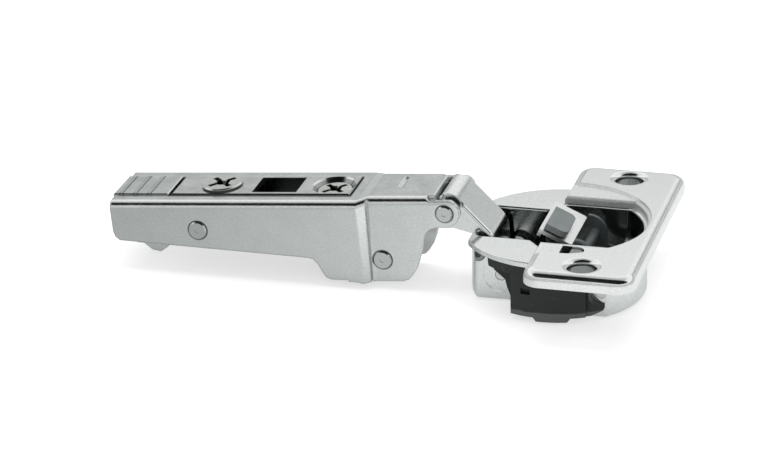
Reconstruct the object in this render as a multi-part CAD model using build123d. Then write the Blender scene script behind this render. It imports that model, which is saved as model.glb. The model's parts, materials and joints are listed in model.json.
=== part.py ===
from build123d import *
import os
from math import cos, sin, radians, degrees, hypot, atan2, sqrt

# Concealed cup hinge, shown open at its stop. Millimetres, +Z out of the cup, +X away from the arm.
# Origin: middle of the two screw holes, on the door's face under the flange plate.

os.makedirs("parts", exist_ok=True)

# Cup and flange
bore_r = 17.5
bore_fit = 0.1
cup_wall = 0.8
cup_depth = 12.4
pot_side_room = 1.155
pot_half_wide = 12.5
pot_step_x = -4.0
pot_step_run = 3.5
pot_corner_r = 1.2
pot_bottom_r = 1.1
rim_r = 19.2
rim_t = 1.05
draw_r = 0.6
rim_edge_r = 0.25
rim_trim_x = -15.95
wall_notch_half = 6.4
wall_notch_depth = 1.85
plate_t = 1.5
plate_w = 22.0
plate_l = 56.0
plate_corner_r = 3.5
plate_edge_r = 1.8
recess_r = 18.3
recess_depth = 0.5
mouth_r = 17.5
mouth_half = 11.65
mouth_edge_r = 0.5
stake_r = 0.7
screw_pitch = 45.0
screw_offset = 9.5
screw_hole_r = 2.7
screw_roll_r = 1.25
collar_wall = 0.6
view_slot_l = 4.6
view_slot_w = 3.6
view_slot_x = 3.6
view_slot_y = -16.4

# Linkage. Cup pivots are measured from the cup axis, arm pivots from the front pin along the arm.
rest_tilt = 4.82
swing = 95.0
front_pivot = (-21.59, 1.67)
lower_pivot = (-13.8, -9.9)
inner_cup_pivot = (-14.55, -5.7)
outer_cup_pivot = (-10.0, -10.0)
outer_turn = 0.06
inner_turn = -0.22
run_fit = 0.06
side_gap = 0.2
pin_head_h = 0.4
pin_head_extra = 0.4
front_pin_r = 1.3
lower_pin_r = 1.5
rear_pin_r = 1.5
inner_pin_r = 1.15
outer_pin_r = 1.2
dimple_r = 0.55
dimple_depth = 0.25

# Hinge arm
sheet = 1.2
arm_w_rear = 17.65
arm_w_front = 14.69
pot_half_narrow = arm_w_front / 2 + pot_side_room
arm_top_rear = 2.92
arm_top_front = 3.24
arm_bend_r = 1.5
arm_rear_x = -69.9
arm_front_x = -2.1
joggle_x = -16.7
joggle_run = 2.2
crease_w = 0.35
crease_depth = 0.3
crease_lean = 0.6
nose_r = 2.95
notch_l = 1.5
notch_w = 1.9
notch_z = 2.6
lobe_z = -14.55
window_half = 5.3
window_front_x = -19.6
rear_pin_x = -51.6
rear_pin_z = -3.1
lance_x = -10.3
lance_l = 6.0
lance_w = 0.7

# Outer lever
lever_t = 1.1
lever_fold_r = 0.9
lever_tail = 0.5
relief_x = 1.7
relief_l = 4.4
relief_w = 1.6
lever_off = 3.6
lever_angle = 49.6
lever_lug_r = 3.2
elbow_r = 1.6

# Inner lever
inner_half = 4.0
inner_t = 1.9
inner_eye_wall = 0.4
open_pivot_play = 0.25
open_eye_wall = 1.5

# Adjuster channel, clip slide and screws
channel_gap = 0.3
panel_half = 4.9
panel_top = 3.25
shoulder_z = 1.1
channel_rear_x = -57.8
channel_wall_x = -29.5
channel_front_x = -20.0
channel_floor_z = -5.2
port_x = -36.15
port_l = 9.4
port_w = 7.9
cam_x = -48.3
cam_r = 4.2
cam_head_t = 0.6
cam_stem_r = 2.4
cam_throw = 1.5
cam_rest = 60.0
cam_stud_r = 1.2
cam_stud_fit = 0.2
depth_travel = 2.6
side_x = -24.5
side_head_r = 3.6
side_head_t = 1.3
side_dish_r = 4.6
side_dish_depth = 0.9
side_shank_r = 1.9
side_shank_l = 10.0
nut_r = 2.6
nut_z = -3.4
thread_fit = 0.15
slide_t = 1.0
slide_top_z = -0.25
slide_rear_x = -58.5
slide_deck_x = -54.3
slide_front_x = -31.0
claw_z = -7.8
claw_l = 3.2
claw_tip = 1.4

# Release lever
grip_rear_x = -70.3
grip_front_x = -58.5
grip_t = 1.1
rib_pitch = 3.05
rib_first_x = -68.65
rib_count = 3
rib_w = 0.4
rib_h = 0.2
cheek_gap = 0.325
cheek_t = 1.0
release_pin_x = -56.4
release_pin_z = -2.0
release_pin_r = 1.0
release_lug_r = 1.7
hook_z = -9.6

# Damper
lever_pivot = (11.2, -10.0)
damper_pin_r = 1.1
damper_lug_r = 2.1
cheek_arm_t = 2.6
arm_cheek_out = pot_half_narrow - 1.3
arm_cheek_t = 1.2
cross_bar_r = 1.1
arm_edge_r = 0.4
bracket_origin = (0.07, -0.9)
bracket_tilt = 24.0
bracket_t = 0.8
bracket_rear = -2.7
bracket_front = 4.4
bracket_tab = 1.8
switch_l = 4.6
switch_start = -1.9
switch_t = 1.3
switch_y = (-6.9, 2.0)
switch_travel = 1.2
switch_round = 1.6
switch_lift = 0.3
switch_foot = 1.6
housing_gap = 0.1
housing_r = 17.3
housing_floor = -14.4
belly_floor = -15.2
slider_l = 2.7
slider_travel = 1.6
slider_t = 2.4
slider_rise = 2.3
slider_gap = 0.15
spring_wire = 0.45
spring_turns = 2

cup_x = -screw_offset
cup_r = bore_r - bore_fit
recess_z = -recess_depth
rim_top = -(plate_t + recess_depth)
door_z = rim_top - rim_t
cup_floor = door_z - cup_depth
lift = -door_z


# Basic shapes

def block(x0, x1, y0, y1, z0, z1):
    """A box between two corners."""
    return Pos((x0 + x1) / 2, (y0 + y1) / 2, (z0 + z1) / 2) * Box(x1 - x0, y1 - y0, z1 - z0)


def cross_rod(x, z, r, y0, y1):
    """A round bar along Y."""
    return Pos(x, (y0 + y1) / 2, z) * Rot(90, 0, 0) * Cylinder(r, y1 - y0)


def upright_rod(x, y, r, z0, z1):
    """A round bar along Z."""
    return Pos(x, y, (z0 + z1) / 2) * Cylinder(r, z1 - z0)


def side_plate(face, y0, y1):
    """A flat profile drawn in X and Z, thickened from y0 to y1."""
    return Pos(0, y1, 0) * extrude(Plane.XZ * face, amount=y1 - y0)


def both_sides(face, inner, outer):
    """The same profile as a plate on each side of the middle."""
    return side_plate(face, inner, outer) + side_plate(face, -outer, -inner)


def outline(points):
    """A closed straight-sided profile."""
    return make_face(Polyline(*points, close=True))


def turned(vector, angle):
    """A vector in X and Z turned clockwise, seen from the near side."""
    a = radians(angle)
    return (vector[0] * cos(a) + vector[1] * sin(a), -vector[0] * sin(a) + vector[1] * cos(a))


def to_arm(cup_point):
    """A point measured from the cup axis, given along the arm from the front pin."""
    return turned((cup_point[0] - front_pivot[0], cup_point[1] - front_pivot[1]), rest_tilt)


def riveted_pin(x, z, r, half):
    """A pin with a low formed head and a centre dimple at each end."""
    pin = cross_rod(x, z, r, -half, half)
    head_r = r + pin_head_extra
    for side in (-1, 1):
        tip = side * (half + pin_head_h)
        head = cross_rod(x, z, head_r, min(side * half, tip), max(side * half, tip))
        pin += chamfer(head.faces().sort_by(Axis.Y)[0 if side < 0 else -1].edges(), pin_head_h * 0.6)
        dent = tip - side * dimple_depth
        pin -= cross_rod(x, z, dimple_r, min(dent, tip), max(dent, tip))
    return pin


def cross_recess(x, y, top, reach, depth, shallow):
    """The cutter for a cross-head recess: shallow wings that step down to a deep middle."""
    cut = Part()
    for angle in (45, 135):
        cut += Pos(x, y, top - shallow / 2) * Rot(0, 0, angle) * Box(2 * reach, reach * 0.36, shallow)
        cut += Pos(x, y, top - depth / 2) * Rot(0, 0, angle) * Box(1.4 * reach, reach * 0.36, depth)
    return cut + Pos(x, y, top - depth / 2) * Cone(reach * 0.2, reach * 0.5, depth)


def close_coil(x, z, r, wire, turns, y0):
    """A close-wound coil along Y, its turns drawn as rings that just touch."""
    turn = RegularPolygon(wire * 0.56, 8, rotation=22.5)
    section = Sketch() + [Pos(r, i * wire) * turn for i in range(turns + 1)]
    return Pos(x, y0, z) * revolve(section, Axis.Y)


cup_place = Pos(cup_x, 0, lift)
arm_place = Pos(cup_x + front_pivot[0], 0, front_pivot[1] + lift) * Rot(0, -rest_tilt, 0)
inner_pivot = to_arm(inner_cup_pivot)
outer_pivot = to_arm(outer_cup_pivot)


# Cup: one drawn steel pot with two rim crescents

def pot_plan(inset):
    """The pot seen from above: a round pot whose arm side is narrowed by two flats."""
    narrow = pot_half_narrow - inset
    wide = pot_half_wide - inset
    x0 = pot_step_x
    x1 = pot_step_x + pot_step_run
    band = outline([(-bore_r, narrow), (x0, narrow), (x1, wide), (bore_r, wide),
                    (bore_r, -wide), (x1, -wide), (x0, -narrow), (-bore_r, -narrow)])
    plan = Circle(cup_r - inset) & band
    return fillet(plan.vertices(), pot_corner_r)


def view_slot(z0, z1):
    """The D-shaped sight slot beside the near screw hole."""
    straight = view_slot_l - view_slot_w / 2
    y_mid = view_slot_y + view_slot_w / 2
    slot = block(view_slot_x, view_slot_x + straight, view_slot_y, view_slot_y + view_slot_w, z0, z1)
    return slot + upright_rod(view_slot_x + straight, y_mid, view_slot_w / 2, z0, z1)


def make_cup():
    body = extrude(Pos(0, 0, cup_floor) * pot_plan(0), amount=rim_top - cup_floor)
    body = fillet(body.faces().sort_by(Axis.Z)[0].edges(), pot_bottom_r)
    body += upright_rod(0, 0, rim_r, door_z, rim_top)
    hollow = extrude(Pos(0, 0, cup_floor + cup_wall) * pot_plan(cup_wall), amount=rim_top - cup_floor)
    body -= hollow
    rim_face = body.faces().sort_by(Axis.Z)[-1]
    body = fillet(rim_face.inner_wires()[0].edges(), draw_r)
    body = fillet(body.faces().sort_by(Axis.Z)[-1].outer_wire().edges(), rim_edge_r)
    body -= block(-rim_r - 1, rim_trim_x, -rim_r, rim_r, door_z, rim_top + 1)
    body -= block(-rim_r - 1, rim_trim_x + 2 * cup_wall, -wall_notch_half, wall_notch_half,
                  door_z - wall_notch_depth, rim_top + 1)
    body -= view_slot(door_z - 1, rim_top + 1)
    body -= cross_rod(*inner_cup_pivot, inner_pin_r, -rim_r, rim_r)
    eye_r = inner_pin_r + run_fit + inner_eye_wall + side_gap
    body -= cross_rod(*inner_cup_pivot, eye_r, -inner_half - side_gap, inner_half + side_gap)
    body -= cross_rod(*outer_cup_pivot, outer_pin_r, -rim_r, rim_r)
    body -= cross_rod(*lever_pivot, damper_pin_r, -rim_r, rim_r)
    for side in (-1, 1):
        face = side * pot_half_narrow
        dish = cross_rod(*outer_cup_pivot, outer_pin_r + 3 * cup_wall, face - 0.3, face + 0.3)
        body -= dish
    return cup_place * body


# Flange plate: one stamped sheet with its edges turned down to the door

def plate_block(inset, top):
    """The plate's rounded block, smaller all round by the inset."""
    plan = RectangleRounded(plate_w - 2 * inset, plate_l - 2 * inset, plate_corner_r - inset)
    solid = extrude(Pos(screw_offset, 0, door_z - inset) * plan, amount=top - door_z + inset)
    edge_r = max(plate_edge_r - inset, 0.3)
    return fillet(solid.faces().sort_by(Axis.Z)[-1].edges(), edge_r)


def make_flange_plate():
    plate = plate_block(0, 0)
    under = plate_block(plate_t, -plate_t)
    under -= upright_rod(0, 0, rim_r + 0.4, rim_top, 0)
    plate -= under
    plate -= upright_rod(0, 0, rim_r + 0.1, door_z - 1, rim_top)
    plate -= upright_rod(0, 0, recess_r, recess_z, 1)
    mouth = extrude(Circle(mouth_r) & Rectangle(2 * mouth_r, 2 * mouth_half), amount=2 * plate_t, both=True)
    plate -= mouth
    plate -= block(-mouth_r, 0, -mouth_half, mouth_half, door_z - 1, 1)
    lip = plate.edges().filter_by(lambda e: abs(e.center().Z - recess_z) < 0.001)
    lip = lip.filter_by(lambda e: hypot(e.center().X, e.center().Y) < mouth_r + 0.1)
    lip = lip.filter_by(lambda e: abs(e.center().Y) < mouth_half + 0.1)
    plate = fillet(lip, mouth_edge_r)
    plate -= view_slot(door_z - 1, 1)
    plate += Pos(mouth_r * cos(radians(36)), -mouth_r * sin(radians(36)), recess_z - stake_r / 2) * Sphere(stake_r)
    roll_top = screw_hole_r + screw_roll_r
    funnel = Pos(roll_top, -screw_roll_r) * Circle(screw_roll_r)
    column = Pos(roll_top / 2, -screw_roll_r / 2) * Rectangle(roll_top, screw_roll_r) - funnel
    column += Pos(screw_hole_r / 2, door_z / 2) * Rectangle(screw_hole_r, -door_z + 2)
    bore = revolve(Plane.XZ * column, Axis.Z)
    for side in (-1, 1):
        y = side * screw_pitch / 2
        plate += upright_rod(screw_offset, y, screw_hole_r + collar_wall, door_z, -plate_t / 2)
        plate += upright_rod(screw_offset, y, roll_top + collar_wall, -plate_t - collar_wall, -plate_t / 2)
        plate -= Pos(screw_offset, y, 0) * bore
    return cup_place * plate


def pot_pin(pivot, r, half, proud):
    """A pin that spans the pot from wall to wall."""
    return cup_place * chamfer(cross_rod(*pivot, r, -half - proud, half + proud).edges(), 0.15)


def make_inner_cup_pin():
    """Tubular-ended pin, its ends spread over the pot's wall and kept inside the cup's bore."""
    x, z = inner_cup_pivot
    end = pot_half_narrow + pin_head_h
    pin = cross_rod(x, z, inner_pin_r, -end, end)
    for side in (-1, 1):
        face = side * pot_half_narrow
        tip = side * end
        head = cross_rod(x, z, inner_pin_r + pin_head_extra, min(face, tip), max(face, tip))
        pin += chamfer(head.faces().sort_by(Axis.Y)[0 if side < 0 else -1].edges(), pin_head_h * 0.6)
        pin -= cross_rod(x, z, dimple_r + 0.15, min(tip - side * 1.2, tip), max(tip - side * 1.2, tip))
    return cup_place * (pin & upright_rod(0, 0, cup_r, cup_floor, rim_top))


def make_closing_spring():
    """A coil on each end of the outer pin, with a leg that stands on the pot's floor."""
    wire = spring_wire / 2
    coil_r = outer_pin_r + run_fit + wire + 0.05
    reach = spring_turns * spring_wire
    x, z = outer_cup_pivot
    y_in = arm_w_front / 2 - sheet - side_gap + wire + 0.1
    floor = cup_floor + cup_wall
    spring = block(x + coil_r - wire, x + coil_r + wire, -y_in - wire, y_in + wire, floor, floor + 2 * wire)
    coil = close_coil(x, z, coil_r, spring_wire, spring_turns, -y_in - reach)
    coil += upright_rod(x + coil_r, -y_in, wire * 0.9, floor + wire, z)
    spring += coil
    spring += mirror(coil, about=Plane.XZ)
    return cup_place * spring


# Outer lever: folded channel with cheeks at the front pin and a rolled eye on the outer pin

def strip_face_x():
    """The face of the lever's upright strip that lies against the outer pin."""
    return outer_pivot[0] - outer_pin_r - run_fit


def lever_side(depth, lower_edge):
    """The outer lever seen from the side, its skin lowered by a depth and closed along a lower edge."""
    a = radians(lever_angle)
    skin = lever_off - depth
    face_x = strip_face_x() - depth
    crown = (skin * sin(a), skin * cos(a))
    elbow = (face_x, crown[1] - (face_x - crown[0]) * sin(a) / cos(a))
    web = FilletPolyline(crown, elbow, (face_x, lower_edge[0][1]), radius=elbow_r + lever_t - depth)
    under = Polyline((face_x, lower_edge[0][1]), *lower_edge[1:], (0, 0), crown)
    nose = Circle(skin) & Pos(skin, 0) * Rectangle(2 * (skin + lever_tail), 2 * skin)
    return make_face(Curve() + [web, under]) + nose


def make_outer_lever():
    half = arm_w_front / 2 - sheet - side_gap
    inner = half - lever_t
    face_x = strip_face_x()
    heel_z = inner_pivot[1] + 1.3
    toe = (inner_pivot[0] - 1.4, inner_pivot[1] + 3.2)
    cheek_edge = [(face_x, heel_z - 0.5), (face_x - lever_t, heel_z), toe, (0, -lever_lug_r)]
    lever = side_plate(lever_side(0, cheek_edge), -half, half)
    rim = lever.edges().filter_by(lambda e: abs(abs((e @ 0.5).Y) - half) < 0.01)
    folds = rim.filter_by(lambda e: hypot((e @ 0.5).X, (e @ 0.5).Z) > lever_off - 0.01
                          and (e @ 0.5).Z > -2.0 - 0.6 * ((e @ 0.5).X - 1.0) - 1.2 * ((e @ 0.5).X > 9.0))
    lever = fillet(folds, lever_fold_r)
    deep = [(face_x - lever_t, -20), (-9, -20), (-9, -2)]
    lever -= side_plate(lever_side(lever_t, deep), -inner, inner)
    lever += block(face_x - lever_t, face_x, -half, half, outer_pivot[1], heel_z)
    ears = Circle(lever_lug_r) - Pos(-2, 3) * Rectangle(2 * (2 - lever_tail - 0.55), 2.6)
    lever += both_sides(ears, inner, half)
    lever += cross_rod(*outer_pivot, outer_pin_r + run_fit + lever_t, -half, half)
    lever -= cross_rod(*outer_pivot, outer_pin_r + run_fit, -half - 1, half + 1)
    lever -= cross_rod(0, 0, front_pin_r + run_fit, -half - 1, half + 1)
    relief = SlotCenterToCenter(relief_l - relief_w, relief_w)
    for side in (-1, 1):
        lever -= Pos(relief_x, side * (half - 0.1), lever_off - 1.4) * extrude(relief, amount=1.4, both=True)
    return arm_place * lever


# Inner lever: thick plate bent over the pot's rim, with an eye at each end

def open_pivot_shift(share):
    """Where the lower pin sits in the inner lever's own frame, at a share of the swing."""
    cup_turn = -swing * share
    outer = turned(outer_pivot, outer_turn * cup_turn)
    across = (inner_pivot[0] - outer_pivot[0], inner_pivot[1] - outer_pivot[1])
    across = turned(across, cup_turn)
    inner_now = (outer[0] + across[0], outer[1] + across[1])
    reach = (lower_pivot[0] - inner_now[0], lower_pivot[1] - inner_now[1])
    own = turned(reach, -inner_turn * cup_turn)
    return (own[0] + inner_pivot[0], own[1] + inner_pivot[1])


def make_inner_lever():
    ax, az = inner_pivot
    px, pz = lower_pivot
    neck_z = -front_pin_r - 0.6 - inner_t / 2
    path = FilletPolyline((px, pz), (px + 5.0, pz + 3.6), (px + 10.4, neck_z), (ax - 3.4, neck_z - 0.1),
                          (ax - 0.5, az + 3.6), (ax, az), radius=1.1)
    lever = side_plate(trace(path, inner_t), -inner_half, inner_half)
    lever += cross_rod(ax, az, inner_pin_r + run_fit + inner_eye_wall, -inner_half, inner_half)
    steps = 12
    slot_r = lower_pin_r + open_pivot_play
    rings = [Pos(*open_pivot_shift(i / steps)) * Circle(slot_r) for i in range(steps + 1)]
    slot = make_hull([edge for ring in rings for edge in ring.edges()])
    rims = [Pos(*open_pivot_shift(i / steps)) * Circle(slot_r + open_eye_wall) for i in (0, steps // 2, steps)]
    eye = make_hull([edge for rim in rims for edge in rim.edges()])
    lever += side_plate(eye, -inner_half, inner_half)
    lever -= side_plate(slot, -inner_half - 1, inner_half + 1)
    lever -= cross_rod(ax, az, inner_pin_r + run_fit, -inner_half - 1, inner_half + 1)
    return arm_place * lever


# Hinge arm: one folded sheet

def arm_section(x, half, top, bend_r):
    """The arm's cross-section outline at one place, closed far below."""
    low = lobe_z - 6
    face = make_face(Polyline((-half, low), (-half, top), (half, top), (half, low), close=True))
    top_corners = face.vertices().group_by(Axis.Y)[-1]
    face = fillet(top_corners, bend_r)
    return Plane(origin=(x, 0, 0), x_dir=(0, 1, 0), z_dir=(1, 0, 0)) * face


def arm_bulk(inset, rear_x, front_x):
    """The arm's outer or inner bulk: rear run, joggle and front run."""
    r = max(arm_bend_r - inset, 0.3)
    rear = arm_section(rear_x, arm_w_rear / 2 - inset, arm_top_rear - inset, r)
    waist_a = joggle_x - joggle_run / 2
    waist_b = joggle_x + joggle_run / 2
    rear_end = arm_section(waist_a, arm_w_rear / 2 - inset, arm_top_rear - inset, r)
    front_start = arm_section(waist_b, arm_w_front / 2 - inset, arm_top_front - inset, r)
    bulk = extrude(rear, amount=waist_a - rear_x)
    bulk += loft([rear_end, front_start])
    bulk += extrude(front_start, amount=front_x - waist_b)
    return bulk


def arm_side():
    """The arm's side view: belly line, step, lower lobe and round nose."""
    lower = lobe_z
    px, pz = lower_pivot
    step_x = joggle_x - 9.6
    belly_front = arm_top_rear - 12.0
    points = [(arm_rear_x, arm_top_front + 1), (arm_rear_x, -3.4), (arm_rear_x + 0.35, -4.6), (arm_rear_x + 1.2, -5.35),
              (arm_rear_x + 7.6, -5.96), (step_x - 2.6, belly_front + 0.1), (step_x - 1.6, belly_front - 0.2),
              (step_x - 0.7, belly_front - 1.3), (step_x + 0.3, pz - 2.6), (step_x + 0.8, pz - 3.35),
              (step_x + 1.8, pz - 3.75), (px - 7.2, pz - 3.9), (px - 7.1, pz - 4.25), (px - 5.6, pz - 4.35),
              (px - 4.2, lower), (px + 3.8, lower), (px + 5.0, lower + 0.35), (px + 5.9, pz - 3.4), (px + 6.7, pz - 2.3),
              (px + 7.6, pz - 0.2), (px + 8.2, pz + 1.6), (px + 8.8, pz + 4.4), (px + 9.3, pz + 5.5),
              (px + 10.3, -nose_r - 0.5), (-2.0, -nose_r), (0, -nose_r), (0, nose_r),
              (arm_front_x, arm_top_front + 1)]
    return outline(points) + Circle(nose_r)


def make_hinge_arm():
    nose_x = nose_r + 1
    arm = arm_bulk(0, arm_rear_x, nose_x) - arm_bulk(sheet, arm_rear_x - 1, nose_x + 1)
    arm &= side_plate(arm_side(), -arm_w_rear, arm_w_rear)
    front_half = arm_w_front / 2
    arm -= block(arm_front_x, nose_x + 1, -front_half + sheet, front_half - sheet, -nose_r, arm_top_front + 1)
    arm -= block(arm_rear_x - 1, window_front_x, -window_half, window_half, 0, arm_top_front + 1)
    arm -= block(lance_x - lance_w / 2, lance_x + lance_w / 2, 1.5 - lance_l / 2, 1.5 + lance_l / 2,
                 arm_top_front - 0.3, arm_top_front + 1)
    foot = joggle_x + joggle_run / 2
    crease = outline([(foot - crease_w, 4), (foot, 4), (foot - crease_lean, -16), (foot - crease_lean - crease_w, -16)])
    arm -= both_sides(crease, front_half - crease_depth, arm_w_rear)
    notch_x = arm_front_x - notch_l
    notch = outline([(notch_x, 4), (notch_x, notch_z + 0.4), (notch_x + 0.5, notch_z), (nose_x, notch_z), (nose_x, 4)])
    arm -= both_sides(notch, front_half - notch_w, arm_w_rear)
    arm -= cross_rod(0, 0, front_pin_r, -front_half - 1, front_half + 1)
    arm -= cross_rod(*lower_pivot, lower_pin_r, -front_half - 1, front_half + 1)
    arm -= cross_rod(rear_pin_x, rear_pin_z, rear_pin_r, -arm_w_rear, arm_w_rear)
    seat_r = lower_pin_r + pin_head_extra + run_fit
    arm -= cross_rod(*lower_pivot, seat_r, front_half, arm_w_rear)
    arm -= cross_rod(*lower_pivot, seat_r, -arm_w_rear, -front_half)
    return arm_place * arm


def make_arm_pins():
    front_half = arm_w_front / 2
    rear_half = arm_w_rear / 2
    return {
        "front_pin": arm_place * riveted_pin(0, 0, front_pin_r, front_half),
        "lower_pin": arm_place * riveted_pin(*lower_pivot, lower_pin_r, front_half),
        "rear_pin": arm_place * riveted_pin(rear_pin_x, rear_pin_z, rear_pin_r, rear_half),
    }


# Adjuster channel with its screws

def make_adjuster_channel():
    half = arm_w_rear / 2 - sheet - channel_gap
    channel = block(channel_rear_x, channel_wall_x, -half, half, channel_floor_z, shoulder_z)
    channel -= block(channel_rear_x - 1, channel_wall_x + 1, -half + sheet, half - sheet,
                     channel_floor_z - 1, shoulder_z - sheet)
    step = block(channel_rear_x, channel_front_x, -panel_half, panel_half, shoulder_z - sheet, panel_top)
    step = chamfer(step.faces().sort_by(Axis.Z)[-1].edges(), 0.25)
    step -= block(channel_rear_x - 1, channel_front_x - sheet, -panel_half + sheet, panel_half - sheet,
                  shoulder_z - 2 * sheet, panel_top - sheet)
    channel += step
    channel -= block(channel_rear_x - 1, channel_wall_x + 1, -panel_half + sheet, panel_half - sheet,
                     channel_floor_z - 1, panel_top - sheet)
    channel -= block(port_x - port_l / 2, port_x + port_l / 2, -port_w / 2, port_w / 2, 0, panel_top + 1)
    channel -= upright_rod(cam_x, 0, cam_stem_r + run_fit, 0, panel_top + 1)
    collar = upright_rod(side_x, 0, side_head_r + 0.6, panel_top - side_dish_depth - side_head_t - 0.3,
                         panel_top - sheet)
    channel += collar & block(channel_wall_x, channel_front_x, -panel_half, panel_half, -9, panel_top)
    dish_r = min(side_dish_r, panel_half - 0.2)
    channel -= Pos(side_x, 0, panel_top - side_dish_depth / 2) * Cone(side_head_r + run_fit, dish_r,
                                                                      side_dish_depth)
    channel -= upright_rod(side_x, 0, side_head_r + run_fit, panel_top - side_dish_depth - side_head_t + 0.3,
                           panel_top)
    channel -= upright_rod(side_x, 0, side_shank_r + run_fit, -9, panel_top)
    channel -= cross_rod(rear_pin_x, rear_pin_z, rear_pin_r + run_fit, -half - 1, half + 1)
    return arm_place * channel


def make_depth_cam():
    seat = panel_top + 0.03
    cam = upright_rod(cam_x, 0, cam_r, seat, seat + cam_head_t)
    cam = chamfer(cam.faces().sort_by(Axis.Z)[-1].edges(), 0.2)
    under = shoulder_z - sheet + 0.5
    cam += upright_rod(cam_x, 0, cam_stem_r, under, seat)
    stud_x = cam_x + cam_throw * sin(radians(cam_rest))
    stud_y = cam_throw * cos(radians(cam_rest))
    cam += upright_rod(stud_x, stud_y, cam_stud_r, slide_top_z - slide_t + 0.1, under)
    cam -= cross_recess(cam_x, 0, seat + cam_head_t, cam_r * 0.74, 1.9, cam_head_t * 0.75)
    return arm_place * cam


def make_side_screw():
    top = panel_top - side_dish_depth + 0.15
    floor = panel_top - side_dish_depth - side_head_t + 0.33
    screw = upright_rod(side_x, 0, side_head_r, floor, top)
    screw = fillet(screw.faces().sort_by(Axis.Z)[-1].edges(), 0.4)
    screw += upright_rod(side_x, 0, side_shank_r, floor - side_shank_l, floor)
    screw -= cross_recess(side_x, 0, top, side_head_r * 0.78, 1.2, side_head_t * 0.5)
    return arm_place * screw


def make_side_nut():
    half = arm_w_rear / 2 - sheet
    nut = cross_rod(side_x, nut_z, nut_r, -half, half)
    nut -= upright_rod(side_x, 0, side_shank_r + thread_fit, nut_z - nut_r - 1, nut_z + nut_r + 1)
    return arm_place * nut


# Clip slide: the inner channel that hooks on a mounting plate

slide_half = arm_w_rear / 2 - 2 * sheet - channel_gap - side_gap
cheek_half = slide_half - slide_t - cheek_gap


def make_clip_slide():
    half = slide_half
    floor = channel_floor_z + 0.3
    slide = block(slide_rear_x, slide_front_x, -half, half, floor, slide_top_z)
    slide += block(slide_front_x - claw_l, slide_front_x, -half, half, claw_z, floor)
    slide -= block(slide_rear_x - 1, slide_front_x + 1, -half + slide_t, half - slide_t,
                   claw_z - 1, slide_top_z - slide_t)
    slide -= block(slide_rear_x - 1, slide_deck_x, -half + slide_t, half - slide_t, floor - 1, slide_top_z + 1)
    throat_z = claw_z + claw_tip
    slide -= block(slide_front_x - claw_l - 1, slide_front_x - claw_tip, -half - 1, half + 1,
                   throat_z, throat_z + claw_tip)
    slot_w = 2 * (cam_stud_r + cam_stud_fit)
    slot_y = cam_throw + cam_stud_r + cam_stud_fit
    slot_x = cam_x + cam_throw * sin(radians(cam_rest))
    slide -= block(slot_x - slot_w / 2, slot_x + slot_w / 2, -1.0, slot_y, -slide_t - 1, 1)
    slot_r = rear_pin_r + run_fit + 0.1
    for dx in (0, depth_travel):
        slide -= cross_rod(rear_pin_x + dx, rear_pin_z, slot_r, -half - 1, half + 1)
    slide -= block(rear_pin_x, rear_pin_x + depth_travel, -half - 1, half + 1,
                   rear_pin_z - slot_r, rear_pin_z + slot_r)
    slide -= cross_rod(release_pin_x, release_pin_z, release_pin_r, -half - 1, half + 1)
    return arm_place * slide


def make_release_pin():
    half = slide_half
    return arm_place * cross_rod(release_pin_x, release_pin_z, release_pin_r, -half, half)


def make_release_spring():
    """A coil round the release pin, with a leg under the slide's deck."""
    wire = spring_wire / 2
    coil_r = release_pin_r + wire + 0.08
    height = 4 * spring_wire
    coil = close_coil(release_pin_x, release_pin_z, coil_r, spring_wire, 4, -height / 2)
    leg_x = release_pin_x + coil_r
    leg = block(leg_x - wire, slide_deck_x + 1.2, height / 2 - wire, height / 2 + wire,
                slide_top_z - slide_t - 2 * wire, slide_top_z - slide_t)
    link = upright_rod(leg_x, height / 2, wire * 0.9, release_pin_z, slide_top_z - slide_t)
    return arm_place * (coil + leg + link)


def make_release_lever():
    grip = block(grip_rear_x, grip_front_x, -panel_half, panel_half, panel_top - grip_t, panel_top)
    grip = chamfer(grip.faces().sort_by(Axis.Z)[-1].edges(), 0.2)
    for i in range(rib_count):
        x = rib_first_x + i * rib_pitch
        grip += block(x - rib_w / 2, x + rib_w / 2, -cheek_half, cheek_half, panel_top - 0.1, panel_top + rib_h)
    under = panel_top - grip_t
    px, pz = release_pin_x, release_pin_z
    cheek = outline([(grip_rear_x + 0.6, under), (grip_front_x - 0.4, under), (px - 1.9, pz + 1.6), (px, pz + 1.6),
                     (px - 1.0, pz - 2.0), (px - 2.6, hook_z + 3.4), (px - 3.8, hook_z + 1.0),
                     (px - 5.4, hook_z), (px - 7.2, hook_z + 0.4), (px - 8.9, hook_z + 1.9),
                     (px - 10.2, hook_z + 2.0), (px - 10.6, hook_z + 3.4), (px - 12.6, pz - 1.5)])
    cheek += Pos(px, pz) * Circle(release_lug_r)
    lever = grip + both_sides(cheek, cheek_half - cheek_t, cheek_half)
    lever -= cross_rod(px, pz, release_pin_r + run_fit, -cheek_half - 1, cheek_half + 1)
    return arm_place * lever


# Damper: housing beside the pot, lever and bracket in the pot, switch and slider

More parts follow.
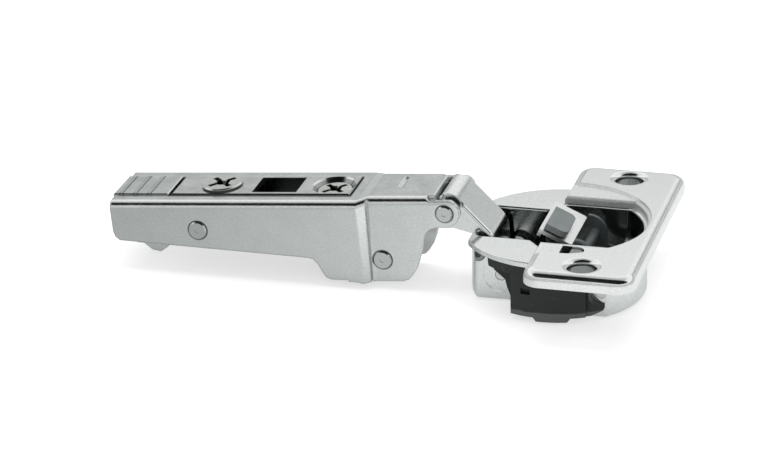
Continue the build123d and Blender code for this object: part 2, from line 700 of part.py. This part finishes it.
def make_damper_housing():
    """Black body that fills the round space beside the pot's near flat."""
    plan = Circle(housing_r) & Pos(0, -bore_r) * Rectangle(2 * bore_r, 2 * (bore_r - pot_half_narrow))
    plan -= offset(pot_plan(0), housing_gap)
    body = extrude(Pos(0, 0, belly_floor) * plan, amount=door_z - housing_gap - belly_floor)
    top = door_z - housing_gap
    side = outline([(-11.6, top), (-11.4, -5.6), (-10.6, -7.5), (-8.4, -9.4), (-8.0, -11.1), (-7.2, -13.2),
                    (-7.2, housing_floor), (-1.5, housing_floor), (-0.9, belly_floor), (5.2, belly_floor),
                    (5.8, housing_floor), (9.0, housing_floor), (11.6, housing_floor + 0.8),
                    (12.9, housing_floor + 3.6), (14.5, top)])
    body &= side_plate(side, -bore_r, 0)
    body = body.solids().sort_by(SortBy.VOLUME)[-1]
    front = -housing_r
    body -= block(-4.0, -2.1, front - 1, front + 1.3, -9.7, -8.5)
    body -= block(8.6, 14.5, front - 1, -14.4, belly_floor, top)
    body -= block(-14.0, -6.2, front - 1, -11.4, belly_floor - 1, -6.0)
    body -= block(5.8, 6.3, front - 1, front + 0.5, belly_floor, top)
    body -= cross_rod(*lever_pivot, damper_pin_r + 1.1, -bore_r, -pot_half_wide + cup_wall)
    pocket = block(view_slot_x - slider_gap, view_slot_x + slider_l + slider_travel + 2 * slider_gap, view_slot_y,
                   view_slot_y + view_slot_w + 1, top - slider_t - housing_gap, top + 1)
    body -= pocket
    return cup_place * body


def make_damper_slider():
    """Grey head of the damper's piston, seen through the sight slot."""
    top = door_z - housing_gap
    x1 = view_slot_x + slider_l + slider_travel + slider_gap
    y0 = view_slot_y + slider_gap
    y1 = view_slot_y + view_slot_w - 2 * slider_gap
    slider = block(x1 - slider_l, x1, y0, y1, top - slider_t, top + slider_rise)
    slider = fillet(slider.edges().filter_by(Axis.Z).group_by(Axis.X)[-1], 0.46 * (y1 - y0))
    slider = chamfer(slider.faces().sort_by(Axis.Z)[-1].edges(), slider_gap)
    return cup_place * slider


def make_damper_lever():
    """Two curved arms on the lever pin, joined by a bar under the bracket."""
    dx, dz = lever_pivot
    path = FilletPolyline((dx - 9.0, dz + 6.9), (dx - 4.2, dz + 7.0), (dx - 4.1, dz + 1.2), (dx, dz), radius=2.4)
    arm = trace(path, cheek_arm_t) + Pos(dx, dz) * Circle(damper_lug_r)
    under = Pos(bracket_origin[0], 0, bracket_origin[1]) * Rot(0, bracket_tilt, 0)
    lever = both_sides(arm, arm_cheek_out - arm_cheek_t, arm_cheek_out)
    outer_edges = lever.edges().filter_by(lambda e: abs(abs(e.center().Y) - arm_cheek_out) < 0.01)
    lever = fillet(outer_edges, arm_edge_r)
    lever += cross_rod(dx - 5.3, dz + 4.6, cross_bar_r, -arm_cheek_out + 1, arm_cheek_out - 1)
    lever -= cross_rod(dx, dz, damper_pin_r + run_fit, -arm_cheek_out - 1, arm_cheek_out + 1)
    lever -= under * block(2 * bracket_rear, bracket_front + run_fit, -arm_cheek_out - 1, arm_cheek_out + 1,
                           -bracket_t, 4)
    return cup_place * lever


bracket_place = cup_place * Pos(bracket_origin[0], 0, bracket_origin[1]) * Rot(0, bracket_tilt, 0)


def make_switch_bracket():
    """Stamped plate on the lever arms, with a turned-down tab and a slot for the switch's foot."""
    bracket = block(bracket_rear, bracket_front, -arm_cheek_out, arm_cheek_out, -bracket_t, 0)
    bracket = fillet(bracket.edges().filter_by(Axis.Z), 0.5)
    bracket += block(bracket_rear, bracket_rear + bracket_t, -arm_cheek_out + 0.6, -arm_cheek_out + 4.4,
                     -bracket_tab, -bracket_t)
    y_mid = sum(switch_y) / 2
    foot_x = switch_start + switch_l / 2
    bracket -= block(foot_x - switch_foot / 2 - 0.1, foot_x + switch_foot / 2 + switch_travel + 0.1,
                     y_mid - switch_foot / 2 - 0.1, y_mid + switch_foot / 2 + 0.1, -bracket_t - 1, 1)
    return bracket_place * bracket


def make_damper_switch():
    block_top = switch_lift + switch_t
    switch = block(switch_start, switch_start + switch_l, switch_y[0], switch_y[1], switch_lift, block_top)
    far_edges = switch.edges().filter_by(Axis.Z).group_by(Axis.X)[-1]
    switch = fillet(far_edges, switch_round)
    y_mid = sum(switch_y) / 2
    foot_x = switch_start + switch_l / 2
    switch += block(foot_x - switch_foot / 2, foot_x + switch_foot / 2, y_mid - switch_foot / 2,
                    y_mid + switch_foot / 2, -bracket_t, switch_lift)
    return bracket_place * switch


def make_all():
    parts = {
        "cup": make_cup(),
        "flange_plate": make_flange_plate(),
        "inner_cup_pin": make_inner_cup_pin(),
        "outer_cup_pin": pot_pin(outer_cup_pivot, outer_pin_r, pot_half_narrow - 0.3, 0),
        "damper_lever_pin": pot_pin(lever_pivot, damper_pin_r, pot_half_wide, 0.3),
        "closing_spring": make_closing_spring(),
        "damper_housing": make_damper_housing(),
        "damper_slider": make_damper_slider(),
        "damper_lever": make_damper_lever(),
        "switch_bracket": make_switch_bracket(),
        "damper_switch": make_damper_switch(),
        "outer_lever": make_outer_lever(),
        "inner_lever": make_inner_lever(),
        "hinge_arm": make_hinge_arm(),
        "adjuster_channel": make_adjuster_channel(),
        "depth_cam_screw": make_depth_cam(),
        "side_adjust_screw": make_side_screw(),
        "side_adjust_nut": make_side_nut(),
        "clip_slide": make_clip_slide(),
        "release_pin": make_release_pin(),
        "release_spring": make_release_spring(),
        "release_lever": make_release_lever(),
    }
    parts.update(make_arm_pins())
    return parts


for name, shape in make_all().items():
    export_step(shape, f"parts/{name}.step")
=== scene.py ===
import json
import math
import bpy
import bmesh
from mathutils import Matrix, Vector


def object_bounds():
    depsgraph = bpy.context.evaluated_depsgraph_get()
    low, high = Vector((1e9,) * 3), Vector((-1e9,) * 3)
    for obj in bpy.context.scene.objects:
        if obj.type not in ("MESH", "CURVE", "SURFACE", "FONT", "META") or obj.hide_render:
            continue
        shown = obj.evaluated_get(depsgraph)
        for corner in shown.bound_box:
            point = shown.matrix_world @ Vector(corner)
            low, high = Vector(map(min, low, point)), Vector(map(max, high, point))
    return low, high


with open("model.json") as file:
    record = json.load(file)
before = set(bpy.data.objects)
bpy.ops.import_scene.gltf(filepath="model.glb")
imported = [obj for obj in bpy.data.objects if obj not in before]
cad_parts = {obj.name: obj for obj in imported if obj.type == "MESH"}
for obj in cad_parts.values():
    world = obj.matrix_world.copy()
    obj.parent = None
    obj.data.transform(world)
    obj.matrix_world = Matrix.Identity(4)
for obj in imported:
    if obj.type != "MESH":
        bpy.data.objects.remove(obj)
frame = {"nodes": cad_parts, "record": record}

cad_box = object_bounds()
mm = 0.001

# Where the arm stands in the part's frame, as in the CAD model
front_pin_at = Vector((-31.09, 0, 4.72)) * mm
arm_turn = Matrix.Rotation(math.radians(-4.82), 3, "Y")
arm_forward = arm_turn @ Vector((1, 0, 0))
arm_up = arm_turn @ Vector((0, 0, 1))

# Sizes of the CAD model that the finishes and the painted shade follow
cup_axis_back = 9.5 * mm
pot_inner_radius = 17.0 * mm
waist_start_x, waist_end_x = -4.0 * mm, -0.5 * mm
narrow_wall_y, wide_wall_y = 8.1 * mm, 12.1 * mm
screw_hole_y = 22.5 * mm
mouth_reach_y = 12.4 * mm
mouth_reach_x = 9.0 * mm
first_rib_back = 68.65 * mm
half_rib_pitch = 1.525 * mm
rib_rows_end = 8.5 * mm
grip_face_depth = 0.5 * mm
# x, z and head radius in millimetres
arm_pins = ((-31.09, 4.72, 1.7), (-44.009, -6.305, 1.9), (-82.247, -2.705, 1.9))

# Where painted shade, and the milky mouth edge, go over into the plain metal: the value where each
# starts and where it is full
rim_fade = 0.95 * mm, 0.3 * mm
bore_fade = 2.95 * mm, 2.75 * mm
mouth_edge_fade = 0.03 * mm, 0.12 * mm
face_fade = 0.12 * mm, 0.4 * mm
pin_ring_shade_fade = 0.35, 0.1
rib_shade_middle, rib_shade_half = 0.36 * mm, 0.13 * mm

# A Mix node's sockets when it mixes colours
mix_factor, mix_first, mix_second, mix_result = 0, 6, 7, 2


def linear(hex_colour):
    """An sRGB hex colour as linear red, green, blue and alpha."""
    channels = []
    for i in (0, 2, 4):
        c = int(hex_colour[i:i + 2], 16) / 255
        channels.append(c / 12.92 if c <= 0.04045 else ((c + 0.055) / 1.055) ** 2.4)
    return (*channels, 1.0)


def add(tree, kind, settings=None, links=None):
    """A node with its properties and socket values, and links into its sockets."""
    node = tree.nodes.new(kind)
    for key, value in (settings or {}).items():
        if isinstance(key, str) and hasattr(node, key):
            setattr(node, key, value)
        else:
            node.inputs[key].default_value = value
    for socket, source in (links or {}).items():
        tree.links.new(source, node.inputs[socket])
    return node


def calc(tree, operation, *terms):
    """The result of a math node on sockets and plain numbers."""
    settings, links = {"operation": operation}, {}
    for socket, term in enumerate(terms):
        if isinstance(term, (int, float)):
            settings[socket] = term
        else:
            links[socket] = term
    return add(tree, "ShaderNodeMath", settings, links).outputs["Value"]


def ramp(tree, value, start, end, low=0.0, high=1.0):
    """A straight ramp from low at start to high at end, and level beyond both."""
    node = add(tree, "ShaderNodeMapRange",
               {"From Min": start, "From Max": end, "To Min": low, "To Max": high},
               {"Value": value})
    return node.outputs["Result"]


def colour_ramp(tree, value, stops):
    """A colour through (position, hex colour) stops."""
    node = add(tree, "ShaderNodeValToRGB", None, {"Fac": value})
    elements = node.color_ramp.elements
    for element, (where, colour) in zip(elements, (stops[0], stops[-1])):
        element.position = where
        element.color = linear(colour)
    for where, colour in stops[1:-1]:
        elements.new(where).color = linear(colour)
    return node.outputs["Color"]


def noise(tree, place, scale, detail, roughness=0.5):
    """Plain noise on the piece's own coordinates."""
    node = add(tree, "ShaderNodeTexNoise",
               {"Scale": scale, "Detail": detail, "Roughness": roughness}, {"Vector": place})
    return node.outputs["Fac"]


def axes_of(tree, place):
    """A point's X, Y and Z as sockets."""
    return add(tree, "ShaderNodeSeparateXYZ", None, {"Vector": place}).outputs


def along(tree, place, direction):
    """How far a point lies along a direction."""
    node = add(tree, "ShaderNodeVectorMath", {"operation": "DOT_PRODUCT", 1: direction}, {0: place})
    return node.outputs["Value"]


def length(tree, x, y):
    """The length of a flat vector."""
    flat = add(tree, "ShaderNodeCombineXYZ", None, {"X": x, "Y": y})
    node = add(tree, "ShaderNodeVectorMath", {"operation": "LENGTH"}, {0: flat.outputs["Vector"]})
    return node.outputs["Value"]


def top_of(node, direction):
    """How far a node reaches along a direction."""
    return max(v.co.dot(direction) for v in frame["nodes"][node].data.vertices)


def new_material(name):
    material = bpy.data.materials.new(name)
    material.use_nodes = True
    material.node_tree.nodes.clear()
    return material, material.node_tree


# Masks: each takes a tree and the Object coordinates, and gives 1 where shade is painted; on the
# mouth edge, where the plating is rougher

def inside_pot(tree, place):
    """The inner walls and floor of the cup's pot, but not its outer skin and rim."""
    axes = axes_of(tree, place)
    from_axis = calc(tree, "ADD", axes["X"], cup_axis_back)
    side = calc(tree, "ABSOLUTE", axes["Y"])
    in_round = calc(tree, "LESS_THAN", length(tree, from_axis, side), pot_inner_radius)
    # the pot's walls stand closer together on the arm's side
    wall = ramp(tree, from_axis, waist_start_x, waist_end_x, narrow_wall_y, wide_wall_y)
    in_walls = calc(tree, "LESS_THAN", side, wall)
    below_rim = ramp(tree, axes["Z"], *rim_fade)
    return calc(tree, "MULTIPLY", calc(tree, "MULTIPLY", in_round, in_walls), below_rim)


def in_bores(tree, place):
    """The walls of the flange's two screw holes."""
    axes = axes_of(tree, place)
    from_hole = calc(tree, "SUBTRACT", calc(tree, "ABSOLUTE", axes["Y"]), screw_hole_y)
    return ramp(tree, length(tree, axes["X"], from_hole), *bore_fade)


def on_mouth_edge(tree, place):
    """The drawn edge of the flange's mouth, below its top face."""
    top = top_of("flange_plate", Vector((0, 0, 1)))
    axes = axes_of(tree, place)
    beside = calc(tree, "LESS_THAN", calc(tree, "ABSOLUTE", axes["Y"]), mouth_reach_y)
    before = calc(tree, "LESS_THAN", axes["X"], mouth_reach_x)
    below_top = ramp(tree, axes["Z"], *(top - depth for depth in mouth_edge_fade))
    return calc(tree, "MULTIPLY", calc(tree, "MULTIPLY", beside, before), below_top)


def round_pins(tree, place):
    """A narrow ring of painted shade round each of the arm's riveted heads, where the head meets
    the arm.
    """
    total = None
    for x, z, head in arm_pins:
        flat = add(tree, "ShaderNodeVectorMath", {"operation": "MULTIPLY", 1: (1, 0, 1)},
                   {0: place})
        radius = add(tree, "ShaderNodeVectorMath",
                     {"operation": "DISTANCE", 1: (x * mm, 0, z * mm)}, {0: flat.outputs["Vector"]})
        ring_shade = ramp(tree, radius.outputs["Value"], *((head + past) * mm for past in pin_ring_shade_fade))
        total = calc(tree, "MAXIMUM", total, ring_shade) if total else ring_shade
    return total


def below_face(node):
    """What lies below a node's top face, where shade is painted: a screw's recess, a window and
    their edges.
    """
    top = top_of(node, arm_up)

    def mask(tree, place):
        return ramp(tree, along(tree, place, arm_up), *(top - depth for depth in face_fade))
    return mask


def beside_ribs(tree, place):
    """The narrow shade at the foot of the grip's cross ribs, on its top face."""
    first_rib = front_pin_at.dot(arm_forward) - first_rib_back
    offset = calc(tree, "SUBTRACT", along(tree, place, arm_forward), first_rib)
    from_rib = calc(tree, "PINGPONG", offset, half_rib_pitch)
    at_foot = calc(tree, "COMPARE", from_rib, rib_shade_middle, rib_shade_half)
    face = top_of("release_lever", arm_up) - grip_face_depth
    on_face = calc(tree, "GREATER_THAN", along(tree, place, arm_up), face)
    in_rows = calc(tree, "LESS_THAN", offset, rib_rows_end)
    return calc(tree, "MULTIPLY", calc(tree, "MULTIPLY", at_foot, on_face), in_rows)


# Noise scales are per metre: 5000 is a spot about 0.2 mm across
haze_scale, cloud_scale = 260.0, 420.0
sheet_grain, head_grain, wire_grain, moulded_grain = 2600.0, 4000.0, 7000.0, 5200.0
steel_rough_spread, plastic_rough_spread = 0.03, 0.06
milky_roughness = 0.45


def plated_steel(name, colour, rough, grain, bump, painted_shade=None, milky=None, edge=0.0):
    """Nickel-plated pressed steel: a bright even metal, a little milky where the sheet was drawn.

    Of the options, the first is a mask and the darker colour painted there as shade, milky is a
    mask with a rougher plating, and edge is the radius that tumbling gives to the sheet's sharp
    edges.
    """
    material, tree = new_material(name)
    place = add(tree, "ShaderNodeTexCoord").outputs["Object"]
    # broad haze of the plating, a few millimetres across
    haze = noise(tree, place, haze_scale, 3.0, 0.55)
    # fine skin of the rolled sheet, drawn as coarse as it needs to show
    skin = noise(tree, place, grain, 2.0, 0.6)
    roughness = ramp(tree, haze, 0.3, 0.7, rough - steel_rough_spread, rough + steel_rough_spread)
    if milky:
        roughness = calc(tree, "MULTIPLY_ADD", milky(tree, place), milky_roughness, roughness)
    tint = calc(tree, "MULTIPLY", ramp(tree, haze, 0.25, 0.75, 0.94, 1.0),
                ramp(tree, skin, 0.3, 0.7, 0.9, 1.04))
    shade = add(tree, "ShaderNodeVectorMath", {"operation": "SCALE", 0: linear(colour)[:3]},
                {"Scale": tint})
    if painted_shade:
        # painted shade: hollows, holes and gaps take a darker colour, for the shade that falls in
        # them
        where, shade_colour = painted_shade
        tone = add(tree, "ShaderNodeMix", {"data_type": "RGBA", mix_first: linear(colour),
                                           mix_second: linear(shade_colour)},
                   {mix_factor: where(tree, place)})
        tree.links.new(tone.outputs[mix_result], shade.inputs[0])
    relief = add(tree, "ShaderNodeBump", {"Strength": bump, "Distance": 0.04 * mm},
                 {"Height": skin})
    if edge:
        rounded = add(tree, "ShaderNodeBevel", {"samples": 6, "Radius": edge})
        tree.links.new(rounded.outputs["Normal"], relief.inputs["Normal"])
    steel = add(tree, "ShaderNodeBsdfPrincipled", {"Metallic": 1.0},
                {"Base Color": shade.outputs["Vector"], "Roughness": roughness,
                 "Normal": relief.outputs["Normal"]})
    add(tree, "ShaderNodeOutputMaterial", None, {"Surface": steel.outputs["BSDF"]})
    return material


def moulded_plastic(name, colour, dust_and_sheen, rough, bump, foot_sheen_band=None):
    """Moulded acetal: fine spark-eroded grain and a soft broad sheen.

    The last argument is the height span over which the colour goes over into the lighter second
    tone below it: a painted sheen along the foot, where a bevel would catch the light.
    """
    material, tree = new_material(name)
    place = add(tree, "ShaderNodeTexCoord").outputs["Object"]
    level = noise(tree, place, cloud_scale, 3.0)
    grit = noise(tree, place, moulded_grain, 2.0, 0.7)
    if foot_sheen_band:
        # painted sheen: the lower edge is coloured lighter, for the light a bevel there would catch
        plain_above, sheen_below = foot_sheen_band
        height = ramp(tree, axes_of(tree, place)["Z"], plain_above, sheen_below, -0.25, 0.45)
        level = calc(tree, "ADD", level, height)
    tone = colour_ramp(tree, level, ((0.35, colour), (0.75, dust_and_sheen)))
    roughness = ramp(tree, grit, 0.3, 0.7, rough - plastic_rough_spread,
                     rough + plastic_rough_spread)
    relief = add(tree, "ShaderNodeBump", {"Strength": bump, "Distance": 0.05 * mm},
                 {"Height": grit})
    plastic = add(tree, "ShaderNodeBsdfPrincipled", {"IOR": 1.44},
                  {"Base Color": tone, "Roughness": roughness, "Normal": relief.outputs["Normal"]})
    add(tree, "ShaderNodeOutputMaterial", None, {"Surface": plastic.outputs["BSDF"]})
    return material


housing_foot = -top_of("damper_housing", Vector((0, 0, -1)))

finish_of_slot = {
    "lever_steel": plated_steel("satin_nickel_thick_sheet", "EEF0EF", 0.17, sheet_grain, 0.12),
    "pin_steel": plated_steel("plated_rivet_steel", "DADCDB", 0.22, head_grain, 0.12),
    "spring_steel": plated_steel("drawn_spring_wire", "8C8D8C", 0.32, wire_grain, 0.12),
    # the inner sheet is coloured a dark grey
    "inner_steel": plated_steel("dark_grey_inner_sheet", "5E6161", 0.38, sheet_grain, 0.10),
    # painted sheen: black plastic is coloured lighter along the housing's foot, for the light on
    # its bevel
    "black_plastic": moulded_plastic("black_acetal", "171919", "4A4D4D", 0.42, 0.25,
                                     foot_sheen_band=(housing_foot + 2.0 * mm, housing_foot + 1.6 * mm)),
    "dark_plastic": moulded_plastic("dark_grey_acetal", "393D3D", "454949", 0.30, 0.12),
    "grey_plastic": moulded_plastic("grey_acetal", "6A6F70", "747979", 0.48, 0.2),
}

# Pieces with a finish of their own, which comes before that of their slot; the masked darker
# colours in it are painted shade in hollows, holes and gaps
finish_of_node = {
    # painted shade: the pot's inner walls and floor are coloured darker, for the shade inside the
    # cup
    "cup": plated_steel("deep_drawn_nickel_steel", "EEF0EF", 0.15, sheet_grain, 0.08,
                        painted_shade=(inside_pot, "B4B7B6")),
    # painted shade: the walls of the screw holes are coloured darker, for the shade in them
    "flange_plate": plated_steel("stamped_nickel_steel", "F4F5F4", 0.16, sheet_grain, 0.10,
                                 painted_shade=(in_bores, "8A8D8C"), milky=on_mouth_edge),
    # painted shade: a dark ring round each riveted head, where it meets the arm
    "hinge_arm": plated_steel("folded_nickel_steel", "EEF0EF", 0.16, sheet_grain, 0.10,
                              painted_shade=(round_pins, "3C3E3E"), edge=0.6 * mm),
    # painted shade: the cam screw's recess is coloured dark, for the shade in it
    "depth_cam_screw": plated_steel("stamped_cam_steel", "E8E8E4", 0.20, head_grain, 0.10,
                                    painted_shade=(below_face("depth_cam_screw"), "4A4B4A")),
    # painted shade: the cross recess is coloured dark, for the shade in it
    "side_adjust_screw": plated_steel("cross_head_screw_steel", "E8E8E4", 0.20, head_grain, 0.10,
                                      painted_shade=(below_face("side_adjust_screw"), "4A4B4A")),
    # painted shade: the window and edges below the top face are coloured darker, for the shade
    # there
    "adjuster_channel": plated_steel("bright_nickel_channel", "F0F1F0", 0.15, sheet_grain, 0.08,
                                     painted_shade=(below_face("adjuster_channel"), "A0A2A2")),
    # painted shade at the foot of the grip's cross ribs
    "release_lever": plated_steel("ribbed_nickel_grip", "EEF0EF", 0.16, sheet_grain, 0.10,
                                  painted_shade=(beside_ribs, "868988")),
    "switch_bracket": plated_steel("barrelled_nickel_tab", "FAFBFA", 0.34, sheet_grain, 0.08),
    "inner_cup_pin": plated_steel("spread_tube_pin", "8E9190", 0.22, head_grain, 0.10),
}

for entry in frame["record"]["subparts"]:
    name = entry["node"]
    finish = finish_of_node.get(name) or finish_of_slot[entry["material_slot"]]
    frame["nodes"][name].data.materials.clear()
    frame["nodes"][name].data.materials.append(finish)


# Studio: white floor and room, a large softbox overhead and a weak fill on the near side
floor_half_size = 3.0
floor_gap = 0.3 * mm
paper_glow = 0.60
table_glow = 0.45
table_from_x, table_to_x = -0.11, -0.01
table_tones = ((0.0, "A4A7A7"), (0.35, "B4B7B7"), (0.62, "C2C5C5"), (1.0, "E4E6E6"))

# What bright metal sees of the room, by the height of the direction it looks in
room_tones = ((0.0, "B8BABA"), (0.20, "DCDEDE"), (0.28, "A9ACAC"), (0.35, "A9ACAC"),
              (0.38, "F6F8F8"), (0.50, "FFFFFF"), (0.78, "F4F5F5"), (0.93, "C8CACA"),
              (1.0, "BCBEBE"))
# The dark flag: an axis, the value where it starts to show and the value where it is full
flag_edges = (("Y", 0.03, -0.08), ("Z", 0.5, 0.57), ("X", 0.95, 0.82), ("X", -0.75, -0.55))


def stage_floor():
    bm = bmesh.new()
    bmesh.ops.create_grid(bm, x_segments=1, y_segments=1, size=floor_half_size)
    bmesh.ops.translate(bm, verts=bm.verts, vec=(0, 0, cad_box[0][2] - floor_gap))
    mesh = bpy.data.meshes.new("studio_floor")
    bm.to_mesh(mesh)
    bm.free()
    floor = bpy.data.objects.new("studio_floor", mesh)
    bpy.context.scene.collection.objects.link(floor)
    material, tree = new_material("matt_white_paper")
    paper = add(tree, "ShaderNodeBsdfDiffuse", {"Color": linear("BCBCBC")})
    glow = add(tree, "ShaderNodeEmission", {"Color": linear("FFFFFF"), "Strength": paper_glow})
    both = add(tree, "ShaderNodeAddShader", None,
               {0: paper.outputs["BSDF"], 1: glow.outputs["Emission"]})
    # bright metal sees the paper as the grey of a table, with the object's own shadow on it
    spot = add(tree, "ShaderNodeTexCoord").outputs["Object"]
    reach = ramp(tree, axes_of(tree, spot)["X"], table_from_x, table_to_x)
    tone = colour_ramp(tree, reach, table_tones)
    matt = add(tree, "ShaderNodeBsdfDiffuse", None, {"Color": tone})
    even = add(tree, "ShaderNodeEmission", None, {"Color": tone})
    table = add(tree, "ShaderNodeMixShader", {0: table_glow},
                {1: matt.outputs["BSDF"], 2: even.outputs["Emission"]})
    path = add(tree, "ShaderNodeLightPath")
    seen = add(tree, "ShaderNodeMixShader", None,
               {0: path.outputs["Is Glossy Ray"], 1: both.outputs["Shader"],
                2: table.outputs["Shader"]})
    add(tree, "ShaderNodeOutputMaterial", None, {"Surface": seen.outputs["Shader"]})
    mesh.materials.append(material)


def studio_world():
    """White room. Bright metal also sees grey bands by height, and one dark flag."""
    world = bpy.data.worlds.new("white_room")
    bpy.context.scene.world = world
    world.use_nodes = True
    tree = world.node_tree
    tree.nodes.clear()
    place = add(tree, "ShaderNodeTexCoord").outputs["Generated"]
    axes = axes_of(tree, place)
    # the flag hangs high behind the camera: the sheet's bends draw it as a thin black line
    flag = None
    for axis, start, end in flag_edges:
        edge = add(tree, "ShaderNodeMapRange",
                   {"interpolation_type": "SMOOTHSTEP", "From Min": start, "From Max": end},
                   {"Value": axes[axis]}).outputs["Result"]
        flag = calc(tree, "MULTIPLY", flag, edge) if flag else edge
    seen = add(tree, "ShaderNodeMix", {"data_type": "RGBA", mix_second: linear("0C0D0D")},
               {mix_factor: flag, mix_first: colour_ramp(tree, axes["Z"], room_tones)})
    mirror = add(tree, "ShaderNodeBackground", {"Strength": 1.0},
                 {"Color": seen.outputs[mix_result]})
    plain = add(tree, "ShaderNodeBackground", {"Color": linear("F4F4F4"), "Strength": 0.75})
    white = add(tree, "ShaderNodeBackground", {"Color": linear("FFFFFF"), "Strength": 1.0})
    path = add(tree, "ShaderNodeLightPath")
    lit = add(tree, "ShaderNodeMixShader", None,
              {0: path.outputs["Is Glossy Ray"], 1: plain.outputs["Background"],
               2: mirror.outputs["Background"]})
    shown = add(tree, "ShaderNodeMixShader", None,
                {0: path.outputs["Is Camera Ray"], 1: lit.outputs["Shader"],
                 2: white.outputs["Background"]})
    add(tree, "ShaderNodeOutputWorld", None, {"Surface": shown.outputs["Shader"]})


def lamp(name, place, target, size, power):
    """A rectangular light that bright metal doesn't mirror."""
    light = bpy.data.lights.new(name, "AREA")
    light.shape = "RECTANGLE"
    light.size, light.size_y = size
    light.energy = power
    holder = bpy.data.objects.new(name, light)
    holder.location = place
    holder.visible_glossy = False
    holder.rotation_euler = (Vector(target) - Vector(place)).to_track_quat("-Z", "Y").to_euler()
    bpy.context.scene.collection.objects.link(holder)


def studio_camera():
    """The photograph's view: from the near side, a little to the right, looking down."""
    azimuth, elevation, roll = math.radians(17.907), math.radians(21.772), math.radians(-6.544)
    # the fit was made in the arm's frame, from its front pin
    focus = Vector((-14.504, 0, -6.974)) * mm
    distance = 682.77 * mm
    focal_pixels, image_width, sensor_width = 3390, 775, 36.0
    back = Vector((math.sin(azimuth) * math.cos(elevation),
                   -math.cos(azimuth) * math.cos(elevation), math.sin(elevation)))
    level = Vector((math.cos(azimuth), math.sin(azimuth), 0))
    rise = back.cross(level)
    right = math.cos(roll) * level + math.sin(roll) * rise
    up = -math.sin(roll) * level + math.cos(roll) * rise
    place = front_pin_at + arm_turn @ (focus + back * distance)
    turn = Matrix((arm_turn @ right, arm_turn @ up, arm_turn @ back)).transposed()
    data = bpy.data.cameras.new("studio_camera")
    data.sensor_width = sensor_width
    data.lens = focal_pixels / image_width * sensor_width
    data.clip_start = 0.01
    data.clip_end = 50.0
    camera = bpy.data.objects.new("studio_camera", data)
    camera.matrix_world = Matrix.Translation(place) @ turn.to_4x4()
    bpy.context.scene.collection.objects.link(camera)
    bpy.context.scene.camera = camera


stage_floor()
studio_world()
lamp("overhead_softbox", (-0.05, 0.10, 0.9), (-0.04, 0, 0), (0.9, 0.6), 6.0)
lamp("near_fill", (0.3, -0.9, 0.45), (-0.04, 0, 0), (0.5, 0.4), 2.0)
studio_camera()

bpy.context.scene.view_settings.view_transform = "Standard"
